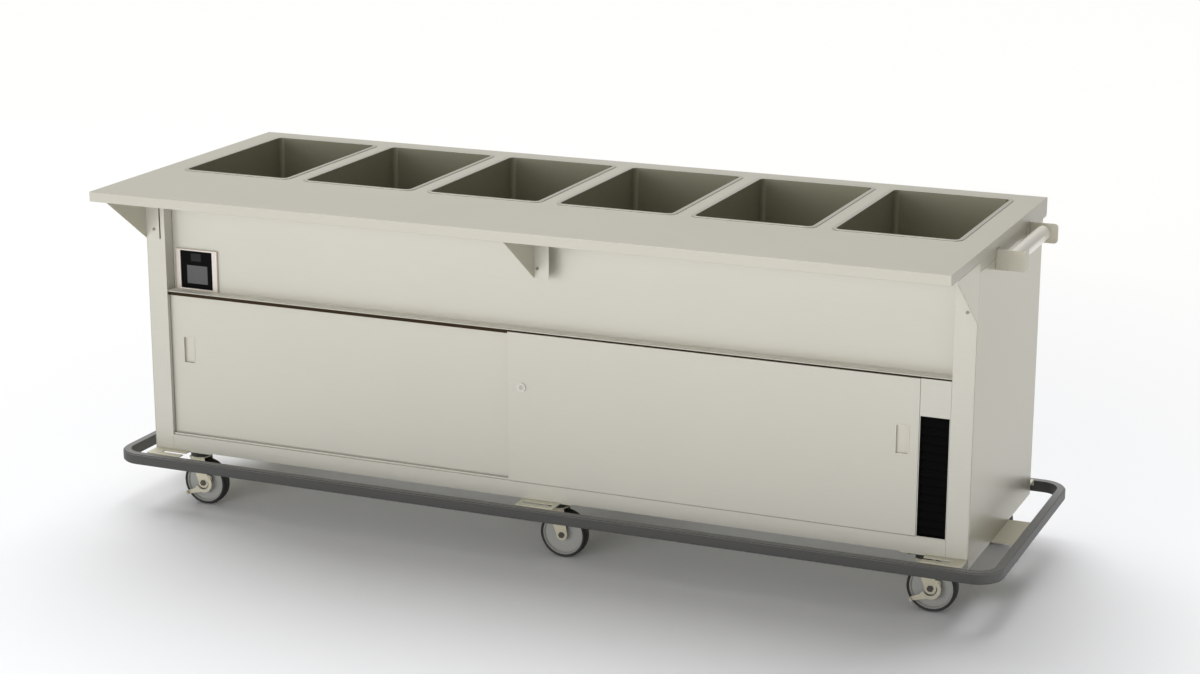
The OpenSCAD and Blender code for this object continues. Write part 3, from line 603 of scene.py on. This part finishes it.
@dataclass(frozen=True)
class PlainNodes(Assembly):
    """CAD nodes that keep their shape and get a better finish.

    Args:
        finishes: the nodes, each with its finish.
    """

    finishes: tuple[tuple[str, Finish], ...] = (
        ("heating_plates", HEATER), ("drain_manifold", PIPE), ("valve_body", BRASS),
        ("valve_lever", LEVER), ("back_panel", FRONT), ("bottom_deck", FRONT),
        ("vent_grille", VENT), ("door_tracks", TRACK), ("gusset_screws", SCREW),
        ("lock_plug", PLUG), ("caster_plates", CASTER),
    )

    def build(self) -> None:
        """Give each of these nodes its finish."""
        for node, finish in self.finishes:
            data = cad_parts[node].data
            data.materials.clear()
            data.materials.append(SHOP.get(finish))
            LOG.info("dressed %s", node)
        self._low_ribs()

    @staticmethod
    def _low_ribs() -> None:
        """Give the ribs under the doors the cabinet's finish."""
        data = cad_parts["door_tracks"].data
        middle = middle_of("door_tracks").z
        repaint(data, FRONT, [
            face.index for face in data.polygons if data.vertices[face.vertices[0]].co.z < middle
        ])


@dataclass(frozen=True)
class Skin:
    """A rounded copy of a sheet-metal node.

    Args:
        node: the CAD node.
        name: name of the copy.
        finish: its finish.
        edge: width of its rounded edges in millimetres.
        second: finish of the faces that look one way, if they have their own; for the worktop,
            the fascia and the handle brackets it is a paler copy of the same steel, painted
            light.
        way: the way in which those faces look.
    """

    node: str
    name: str
    finish: Finish
    edge: float
    second: Optional[Finish] = None
    way: Way = Way.FRONT


@dataclass(frozen=True)
class SheetMetal(Assembly):
    """Folded sheet-metal nodes and the bumper, with their edges rounded.

    Args:
        skins: the copies.
        lean: least share of a face's normal that counts as looking one way.
    """

    skins: tuple[Skin, ...] = (
        # The worktop's front faces get a paler copy of its steel: painted light.
        Skin("countertop", "worktop_sheet", TOP, 1.1, APRON_PAINTED_LIGHT, Way.FRONT),
        Skin("end_panel_left", "end_skin_left", PANEL, 0.4),
        Skin("end_panel_right", "end_skin_right", PANEL, 0.4),
        Skin("front_stiles", "stile_skins", FRONT, 0.35),
        # The fascia's up-facing ledge gets a near-white copy of its steel: painted light.
        Skin("fascia", "fascia_skin", FRONT, 0.4, LEDGE_PAINTED_LIGHT, Way.UP),
        Skin("bottom_rail", "rail_skin", FRONT, 0.35),
        Skin("vent_post", "post_skin", FRONT, 0.35),
        Skin("gusset_brackets", "gusset_skins", BRACKET, 0.5, FRONT, Way.FRONT),
        Skin("control_bezel", "bezel_skin", BEZEL, 0.9),
        Skin("control_module", "module_case", CONTROL, 0.8),
        Skin("display_window", "display_pane", SCREEN, 0.2),
        # The handle brackets' front faces get a paler copy of their steel: painted light.
        Skin("handle_brackets", "handle_bracket_skins", HANDLE, 0.6, HANDLE_FRONT_PAINTED_LIGHT, Way.FRONT),
        Skin("handle_tube", "handle_tube_skin", TUBE, 0.4),
        Skin("bumper", "bumper_ring", BUMPER, 2.4),
        Skin("cross_members", "cross_member_skins", CHASSIS, 0.6),
        Skin("end_brackets", "end_bracket_skins", CHASSIS, 0.6),
    )
    lean: float = 0.7

    def build(self) -> None:
        """Make the rounded copies."""
        for skin in self.skins:
            piece = rounded_copy(skin.node, skin.name, skin.finish, "cabinet", skin.edge * MM)
            if skin.second is not None:
                way = Vector(skin.way.value)
                repaint(piece.data, skin.second, [
                    face.index for face in piece.data.polygons if face.normal.dot(way) > self.lean
                ])


@dataclass(frozen=True)
class Doors(Assembly):
    """The sliding doors with their pulls and lock.

    Args:
        door_edge: width of a door's rounded edges.
        pull_edge: width of a pull's rounded edges.
        lock_edge: width of the lock's rounded edges.
    """

    door_edge: float = 0.7 * MM
    pull_edge: float = 0.25 * MM
    lock_edge: float = 0.4 * MM

    def build(self) -> None:
        """Make the rounded copies on their bodies."""
        for side in ("left", "right"):
            body = f"{side}_door"
            rounded_copy(f"door_{side}", f"door_skin_{side}", DOOR, body, self.door_edge)
            rounded_copy(f"pull_{side}", f"pull_cup_{side}", PULL, body, self.pull_edge)
        rounded_copy("lock_housing", "lock_collar", LOCK, "right_door", self.lock_edge)


@dataclass(frozen=True)
class Wells(Assembly):
    """The six hot wells.

    Args:
        edge: width of a well's rounded edges.
        flange: depth from the rim's top down to which a well is pale; below it the inside is
            painted darker, a painted shade.
    """

    edge: float = 0.5 * MM
    flange: float = 2.2 * MM

    def build(self) -> None:
        """Make the rounded copies with a pale rim and an inside painted darker, a painted shade.
        """
        for number in WELL_NUMBERS:
            name = f"well_skin_{number}"
            piece = rounded_copy(f"well_pan_{number}", name, RIM, "cabinet", self.edge)
            heights = [v.co.z for v in piece.data.vertices]
            inside = max(heights) - self.flange
            # Paint the inside darker than the rim: painted shade.
            repaint(piece.data, WELL, [
                face.index for face in piece.data.polygons
                if min(heights[i] for i in face.vertices) < inside
            ])


@dataclass(frozen=True)
class Casters(Assembly):
    """The six casters: finely turned wheels and tyres, forks and brake levers.

    Args:
        steps: faces round a wheel.
        tread: a tyre's side from the core out, as depth under the tread in millimetres
            and share of half the tyre's width.
        tread_smooth: angle up to which a tyre is shaded smooth, in degrees.
        hub: a disc's side from the bore out along the web, as radius and half width in
            millimetres.
        web_end: the web's end at the rim, as depth under the core and half width in
            millimetres.
        lip: the rim's side, as depth under the core and depth inside the rim's face in
            millimetres.
        rim_share: the rim's width as a share of the tyre's.
        disc_smooth: angle up to which a disc is shaded smooth, in degrees.
        edge: width of the rounded edges of a fork and a lever.
        nut_reach: distance from the axle's line within which the nuts' faces lie.
        nut_place: distance from the wheel's middle past which they lie.
    """

    steps: int = 72
    tread: tuple[tuple[float, float], ...] = ((8.0, 0.9), (3.2, 0.98), (1.2, 0.86), (0.2, 0.6))
    tread_smooth: float = 45.0
    hub: tuple[tuple[float, float], ...] = (
        (5.06, 18.0), (11.2, 18.0), (12.0, 17.2), (12.6, 8.4), (15.0, 6.6), (27.0, 7.4),
    )
    web_end: tuple[float, float] = (5.0, 8.2)
    lip: tuple[tuple[float, float], ...] = ((3.0, 0.6), (2.2, 0.0), (0.0, 0.0))
    rim_share: float = 0.82
    disc_smooth: float = 35.0
    edge: float = 0.5 * MM
    nut_reach: float = 8.8 * MM
    nut_place: float = 22.1 * MM

    def build(self) -> None:
        """Make the pieces of every caster."""
        for number in CASTER_NUMBERS:
            self._tyre(number)
            self._disc(number)
            self._fork(number)
        for number in BRAKED_CASTERS:
            body = f"brake_lever_{number}"
            rounded_copy(f"brake_{number}", f"brake_arm_{number}", BRAKE, body, self.edge)

    @staticmethod
    def _reach(number: int) -> tuple[Vector, float, float]:
        """Measure a tyre.

        Args:
            number: the caster's number.

        Returns:
            The tyre's middle, its radius and half its width.
        """
        low, high = corners(f"tyre_{number}")
        return (low + high) / 2, (high.z - low.z) / 2, (high.y - low.y) / 2

    def _tyre(self, number: int) -> None:
        """Turn one tyre, with a crowned tread and soft shoulders.

        Args:
            number: the caster's number.
        """
        centre, outer, half = self._reach(number)
        side = [(outer - deep * MM, half * share) for deep, share in self.tread]
        bm = bmesh.new()
        turned(bm, both_sides(side, [(outer, 0.0)]), centre, self.steps)
        smooth_by_angle(bm, self.tread_smooth)
        tyre = add_object(f"tread_{number}", bm, TYRE, f"roller_{number}")
        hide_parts(f"tyre_{number}")

    def _disc(self, number: int) -> None:
        """Turn one wheel disc, with its hub, web and rim.

        Args:
            number: the caster's number.
        """
        centre, outer, half = self._reach(number)
        core = outer - self.tread[0][0] * MM
        rim = half * self.rim_share
        side = [(radius * MM, along * MM) for radius, along in self.hub]
        side.append((core - self.web_end[0] * MM, self.web_end[1] * MM))
        side += [(core - deep * MM, rim - inset * MM) for deep, inset in self.lip]
        bm = bmesh.new()
        turned(bm, both_sides(side), centre, self.steps)
        smooth_by_angle(bm, self.disc_smooth)
        disc = add_object(f"disc_{number}", bm, WHEEL, f"roller_{number}")
        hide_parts(f"wheel_{number}")

    def _fork(self, number: int) -> None:
        """Round a fork's edges and darken the nuts on its axle.

        Args:
            number: the caster's number.
        """
        name = f"fork_skin_{number}"
        fork = rounded_copy(f"fork_{number}", name, FORK, f"swivel_{number}", self.edge)
        centre = self._reach(number)[0]
        nuts = []
        for face in fork.data.polygons:
            spot = face.center
            near = math.hypot(spot.x - centre.x, spot.z - centre.z) < self.nut_reach
            if near and abs(spot.y - centre.y) > self.nut_place:
                nuts.append(face.index)
        repaint(fork.data, BOLT, nuts)


@dataclass(frozen=True)
class Fittings(Assembly):
    """Small fittings that the CAD model leaves out.

    Args:
        bolt_r: radius of a caster bolt's head over its corners.
        bolt_h: height of the head.
        bolt_soft: width of the head's rounded edge.
        bolt_apart: half the distance between a plate's bolts, along X and Y.
        plate_t: thickness of a caster's top plate.
        trail: distance from the swivel's axis to the axle.
        bolt_smooth: angle up to which a head is shaded smooth, in degrees.
        indicator: size of the control's indicator window.
        indicator_at: its middle's place from the display's left edge and top.
        indicator_sunk: how far it is let in from the display's front.
        shade_sheet_t: thickness of the black sheet behind the vent, a painted shade.
        shade_sheet_spare: how much smaller than the vent the sheet is.
        line_t: thickness of the two painted shadow lines.
        post_shadow_h: height of the painted shadow line along the vent post's top.
        gusset_shadow_w: width of the painted shadow line beside the gusset's flange.
        gusset_shadow_h: height of that line.
        flange_w: width of the gusset's flange.
        gusset_shadow_off: distance from the flange's edge to the line's middle.
        gusset_shadow_up: height of the line's low end over the gusset's.
    """

    bolt_r: float = 5.2 * MM
    bolt_h: float = 3.0 * MM
    bolt_soft: float = 0.6 * MM
    bolt_apart: tuple[float, float] = (36 * MM, 23 * MM)
    plate_t: float = 4 * MM
    trail: float = 18 * MM
    bolt_smooth: float = 30.0
    indicator: tuple[float, float, float] = (31 * MM, 0.6 * MM, 21 * MM)
    indicator_at: tuple[float, float] = (29 * MM, 22.5 * MM)
    indicator_sunk: float = 0.5 * MM
    shade_sheet_t: float = 1.0 * MM
    shade_sheet_spare: float = 1.0 * MM
    line_t: float = 0.8 * MM
    post_shadow_h: float = 3.6 * MM
    gusset_shadow_w: float = 2.2 * MM
    gusset_shadow_h: float = 146 * MM
    flange_w: float = 42 * MM
    gusset_shadow_off: float = 1.3 * MM
    gusset_shadow_up: float = 2 * MM

    def build(self) -> None:
        """Make the caster bolts, the indicator, the black shade sheet behind the vent and the two
        painted shadow lines.
        """
        self._caster_bolts()
        self._indicator()
        self._vent_shade_sheet()
        self._post_shadow_line()
        self._gusset_shadow_line()

    def _caster_bolts(self) -> None:
        """Put four bolt heads under each caster's top plate."""
        bm = bmesh.new()
        underside = corners("caster_plates")[1].z - self.plate_t
        for number in CASTER_NUMBERS:
            axle = middle_of(f"tyre_{number}")
            for side_x in (-1, 1):
                for side_y in (-1, 1):
                    seat = Vector((
                        axle.x - self.trail + side_x * self.bolt_apart[0],
                        axle.y + side_y * self.bolt_apart[1],
                        underside,
                    ))
                    bolt_head(bm, self.bolt_r, self.bolt_h, seat, self.bolt_soft)
        smooth_by_angle(bm, self.bolt_smooth)
        add_object("caster_bolts", bm, BOLT, "cabinet")

    def _indicator(self) -> None:
        """Lay a small dark window over the display."""
        low, high = corners("display_window")
        size = Vector(self.indicator)
        along, up = self.indicator_at
        depth = low.y + size.y / 2 - self.indicator_sunk
        slab("indicator", size, Vector((low.x + along, depth, high.z + up)), MARK)

    def _vent_shade_sheet(self) -> None:
        """Set a thin black sheet close behind the vent's slats: painted shade for the dark inside
        of the cabinet.
        """
        low, high = corners("vent_grille")
        spare = self.shade_sheet_spare
        size = Vector((high.x - low.x - spare, self.shade_sheet_t, high.z - low.z - spare))
        middle = Vector(((low.x + high.x) / 2, high.y + size.y, (low.z + high.z) / 2))
        # Black sheet behind the slats, painted shade of the cabinet's inside.
        slab("vent_shade_sheet", size, middle, VENT)

    def _post_shadow_line(self) -> None:
        """Lay a dark strip along the vent post's top: a painted shadow line that carries on the
        dark gap over the doors.
        """
        low, high = corners("vent_post")
        size = Vector((high.x - low.x, self.line_t, self.post_shadow_h))
        middle = Vector(((low.x + high.x) / 2, low.y, high.z - size.z / 2))
        # Dark strip painted on the post: a painted shadow line.
        slab("post_shadow_line", size, middle, TRACK)

    def _gusset_shadow_line(self) -> None:
        """Lay a dark line beside the left gusset's flange: a painted shadow of the flange's edge
        on the stile.
        """
        gusset = corners("gusset_brackets")[0]
        stile = corners("front_stiles")[0]
        size = Vector((self.gusset_shadow_w, self.line_t, self.gusset_shadow_h))
        edge = gusset.x + self.flange_w
        middle = Vector((edge + self.gusset_shadow_off, stile.y, gusset.z + self.gusset_shadow_up + size.z / 2))
        # Dark line painted on the stile: the flange edge's painted shadow.
        slab("gusset_shadow_line", size, middle, TRACK)


@dataclass(frozen=True)
class Strainers(Assembly):
    """The domed strainers with radial slots, one over each well's sump.

    A strainer is a double layer of faces that lie in one surface, without a wall's
    thickness.

    Args:
        dome: radius and height of each ring, from the edge in to the middle.
        slotted: number of the ring from which the slots run inwards.
        steps: faces round the dome.
        slot_every: steps from one slot to the next.
        slot_first: step of the first slot.
        smooth: angle up to which a strainer is shaded smooth, in degrees.
        well_depth: depth of a well's underside below the worktop.
        flange_h: height of a well's flange over the worktop.
        seat: height of the strainer's foot over the well's underside.
    """

    dome: tuple[tuple[float, float], ...] = (
        (30.0 * MM, 0.2 * MM), (27.0 * MM, 1.2 * MM), (20.0 * MM, 2.2 * MM),
        (9.0 * MM, 3.2 * MM), (0.0, 3.4 * MM),
    )
    slotted: int = 1
    steps: int = 48
    slot_every: int = 4
    slot_first: int = 1
    smooth: float = 30.0
    well_depth: float = 165 * MM
    flange_h: float = 2 * MM
    seat: float = 1.7 * MM

    def build(self) -> None:
        """Lay a strainer in every well."""
        for number in WELL_NUMBERS:
            self._lay(number)

    def _lay(self, number: int) -> None:
        """Lay the strainer in one well.

        Args:
            number: the well's number.
        """
        low, high = corners(f"well_pan_{number}")
        base = high.z - self.well_depth - self.flange_h + self.seat
        centre = Vector(((low.x + high.x) / 2, (low.y + high.y) / 2, base))
        bm = bmesh.new()
        points = [bm.verts.new(centre + Vector((r, 0.0, lift))) for r, lift in self.dome]
        edges = [bm.edges.new(pair) for pair in zip(points, points[1:])]
        bmesh.ops.spin(
            bm, geom=edges + points, cent=centre, axis=(0.0, 0.0, 1.0), dvec=(0.0, 0.0, 0.0),
            angle=math.tau, steps=self.steps, use_merge=True, use_normal_flip=False,
            use_duplicate=False,
        )
        bmesh.ops.remove_doubles(bm, verts=bm.verts, dist=MERGE_DISTANCE)
        self._cut_slots(bm, centre)
        bmesh.ops.recalc_face_normals(bm, faces=bm.faces)
        bmesh.ops.solidify(bm, geom=bm.faces[:], thickness=0.0)  # the second layer, no wall
        bmesh.ops.recalc_face_normals(bm, faces=bm.faces)
        smooth_by_angle(bm, self.smooth)
        # The strainers take the wells' darker tone, the painted shade inside the pans.
        add_object(f"strainer_{number}", bm, WELL, "cabinet")

    def _cut_slots(self, bm: bmesh.types.BMesh, centre: Vector) -> None:
        """Take the slots' faces out of a dome.

        Args:
            bm: the dome.
            centre: its middle.
        """
        wide, narrow = (self.dome[self.slotted + i][0] for i in (0, 1))
        slots = []
        for face in bm.faces:
            spot = face.calc_center_median() - centre
            step = int(math.atan2(spot.y, spot.x) % math.tau / math.tau * self.steps)
            on_ring = narrow < math.hypot(spot.x, spot.y) < wide
            if on_ring and step % self.slot_every == self.slot_first:
                slots.append(face)
        bmesh.ops.delete(bm, geom=slots, context="FACES")


@dataclass(frozen=True)
class Studio:
    """Floor, lights, world and camera.

    Args:
        lens: focal length of the camera in millimetres.
        sensor: width of its sensor in millimetres.
        yaw: turn of the camera about Z in degrees.
        pitch: how far it looks down, in degrees.
        roll: its roll in degrees.
        place: its place in metres.
        far: how far it sees, in metres.
        world_light: strength of the light from all round.
        world_tone: colour of that light.
        floor_half: half the floor's width.
        floor_rough: roughness of the floor.
        floor_shift: where the floor's middle lies.
        floor_near: distance from the origin up to which the floor has its near tone.
        floor_far: distance from which it has its far tone.
        near_tone: floor's colour next to the table, darker: a painted shade where the table's
            shadow falls.
        far_tone: floor's colour far from it.
        sun_energy: strength of the sun.
        sun_angle: width of the sun in degrees.
        sun_way: the way in which it shines.
        sun_tone: its colour.
        box_size: width and height of the front softbox.
        box_energy: its power.
        box_place: its place.
        box_way: the way in which it shines.
        box_tone: its colour.
    """

    lens: float = 75.98
    sensor: float = 36.0
    yaw: float = 23.05
    pitch: float = 15.20
    roll: float = -0.07
    place: tuple[float, float, float] = (2.5716, -5.8452, 2.2714)
    far: float = 200.0
    world_light: float = 0.30
    world_tone: tuple[float, float, float] = (1.0, 0.995, 0.98)
    floor_half: float = 30.0
    floor_rough: float = 0.9
    floor_shift: tuple[float, float, float] = (0.0, 12.0, -0.0005)
    floor_near: float = 1.4
    floor_far: float = 3.6
    near_tone: tuple[float, float, float] = (0.905, 0.915, 0.94)
    far_tone: tuple[float, float, float] = (1.0, 1.0, 1.0)
    sun_energy: float = 2.45
    sun_angle: float = 60.0
    sun_way: tuple[float, float, float] = (0.30, -0.45, -1.0)
    sun_tone: tuple[float, float, float] = (1.0, 1.0, 0.99)
    box_size: tuple[float, float] = (8.0, 3.0)
    box_energy: float = 315.0
    box_place: tuple[float, float, float] = (-2.2, -9.0, 2.1)
    box_way: tuple[float, float, float] = (0.22, 1.0, -0.17)
    box_tone: tuple[float, float, float] = (1.0, 0.99, 0.97)

    def build(self) -> None:
        """Set up everything that isn't part of the table."""
        bpy.context.scene.view_settings.view_transform = "Standard"
        self._world()
        self._floor()
        self._sun()
        self._softbox()
        self._camera()

    def _world(self) -> None:
        """White for the camera, soft pale light for the object."""
        world = bpy.data.worlds.new("studio")
        bpy.context.scene.world = world
        world.use_nodes = True
        nodes, links = world.node_tree.nodes, world.node_tree.links
        nodes.clear()
        out = nodes.new("ShaderNodeOutputWorld")
        path = nodes.new("ShaderNodeLightPath")
        soft = nodes.new("ShaderNodeBackground")
        soft.inputs["Color"].default_value = (*self.world_tone, 1.0)
        soft.inputs["Strength"].default_value = self.world_light
        white = nodes.new("ShaderNodeBackground")
        white.inputs["Color"].default_value = (1.0, 1.0, 1.0, 1.0)
        white.inputs["Strength"].default_value = 1.0
        mix = nodes.new("ShaderNodeMixShader")
        links.new(path.outputs["Is Camera Ray"], mix.inputs["Fac"])
        links.new(soft.outputs["Background"], mix.inputs[1])
        links.new(white.outputs["Background"], mix.inputs[2])
        links.new(mix.outputs["Shader"], out.inputs["Surface"])

    def _floor(self) -> None:
        """Lay a wide pale floor."""
        bm = bmesh.new()
        bmesh.ops.create_grid(bm, x_segments=1, y_segments=1, size=self.floor_half)
        bmesh.ops.translate(bm, verts=bm.verts, vec=self.floor_shift)
        mesh = bpy.data.meshes.new("floor")
        bm.to_mesh(mesh)
        bm.free()
        floor = bpy.data.objects.new("floor", mesh)
        bpy.context.scene.collection.objects.link(floor)
        mesh.materials.append(self._floor_finish())

    def _floor_finish(self) -> bpy.types.Material:
        """Make the floor's matt finish, a little darker next to the table: a painted shade round
        the table that fades to white far off.

        Returns:
            The new material.
        """
        material = bpy.data.materials.new("floor_pale")
        material.use_nodes = True
        nodes, links = material.node_tree.nodes, material.node_tree.links
        shader = nodes["Principled BSDF"]
        shader.inputs["Roughness"].default_value = self.floor_rough
        shader.inputs["Specular IOR Level"].default_value = 0.0
        place = nodes.new("ShaderNodeTexCoord")
        reach = nodes.new("ShaderNodeVectorMath")
        reach.operation = "LENGTH"
        spread = nodes.new("ShaderNodeMapRange")
        spread.inputs["From Min"].default_value = self.floor_near
        spread.inputs["From Max"].default_value = self.floor_far
        # Painted shade: the floor is darker round the table and white far off.
        ramp = nodes.new("ShaderNodeValToRGB")
        ramp.color_ramp.elements[0].color = (*self.near_tone, 1.0)
        ramp.color_ramp.elements[1].color = (*self.far_tone, 1.0)
        links.new(place.outputs["Object"], reach.inputs[0])
        links.new(reach.outputs["Value"], spread.inputs["Value"])
        links.new(spread.outputs["Result"], ramp.inputs["Fac"])
        links.new(ramp.outputs["Color"], shader.inputs["Base Color"])
        return material

    def _sun(self) -> None:
        """Place a wide soft sun behind the table."""
        light = bpy.data.lights.new("key_sun", "SUN")
        light.energy = self.sun_energy
        light.angle = math.radians(self.sun_angle)
        light.color = self.sun_tone
        self._hang(light, (0.0, 0.0, 0.0), self.sun_way)

    def _softbox(self) -> None:
        """Place a large softbox in front of the table."""
        light = bpy.data.lights.new("front_box", "AREA")
        light.shape = "RECTANGLE"
        light.size, light.size_y = self.box_size
        light.energy = self.box_energy
        light.color = self.box_tone
        self._hang(light, self.box_place, self.box_way)

    @staticmethod
    def _hang(light: bpy.types.Light, place: Sequence[float], way: Sequence[float]) -> None:
        """Hang a light at a place, shining one way.

        Args:
            light: the light.
            place: its place.
            way: the way in which it shines.
        """
        lamp = bpy.data.objects.new(light.name, light)
        lamp.location = place
        lamp.rotation_euler = Vector(way).to_track_quat("-Z", "Y").to_euler()
        bpy.context.scene.collection.objects.link(lamp)

    def _camera(self) -> None:
        """Put the camera where the photograph was taken."""
        data = bpy.data.cameras.new("view")
        data.lens = self.lens
        data.sensor_width = self.sensor
        data.clip_end = self.far
        camera = bpy.data.objects.new("view", data)
        camera.location = self.place
        camera.rotation_euler = (
            math.radians(90.0 - self.pitch), math.radians(self.roll), math.radians(self.yaw)
        )
        bpy.context.scene.collection.objects.link(camera)
        bpy.context.scene.camera = camera


def main() -> None:
    """Dress the table and set the studio."""
    logging.basicConfig(level=logging.INFO)
    for assembly in (
        PlainNodes(), SheetMetal(), Doors(), Wells(), Casters(), Fittings(), Strainers()
    ):
        assembly.build()
        LOG.info("built %s", type(assembly).__name__)
    Studio().build()
    bpy.context.view_layer.update()


if __name__ == "__main__":
    main()
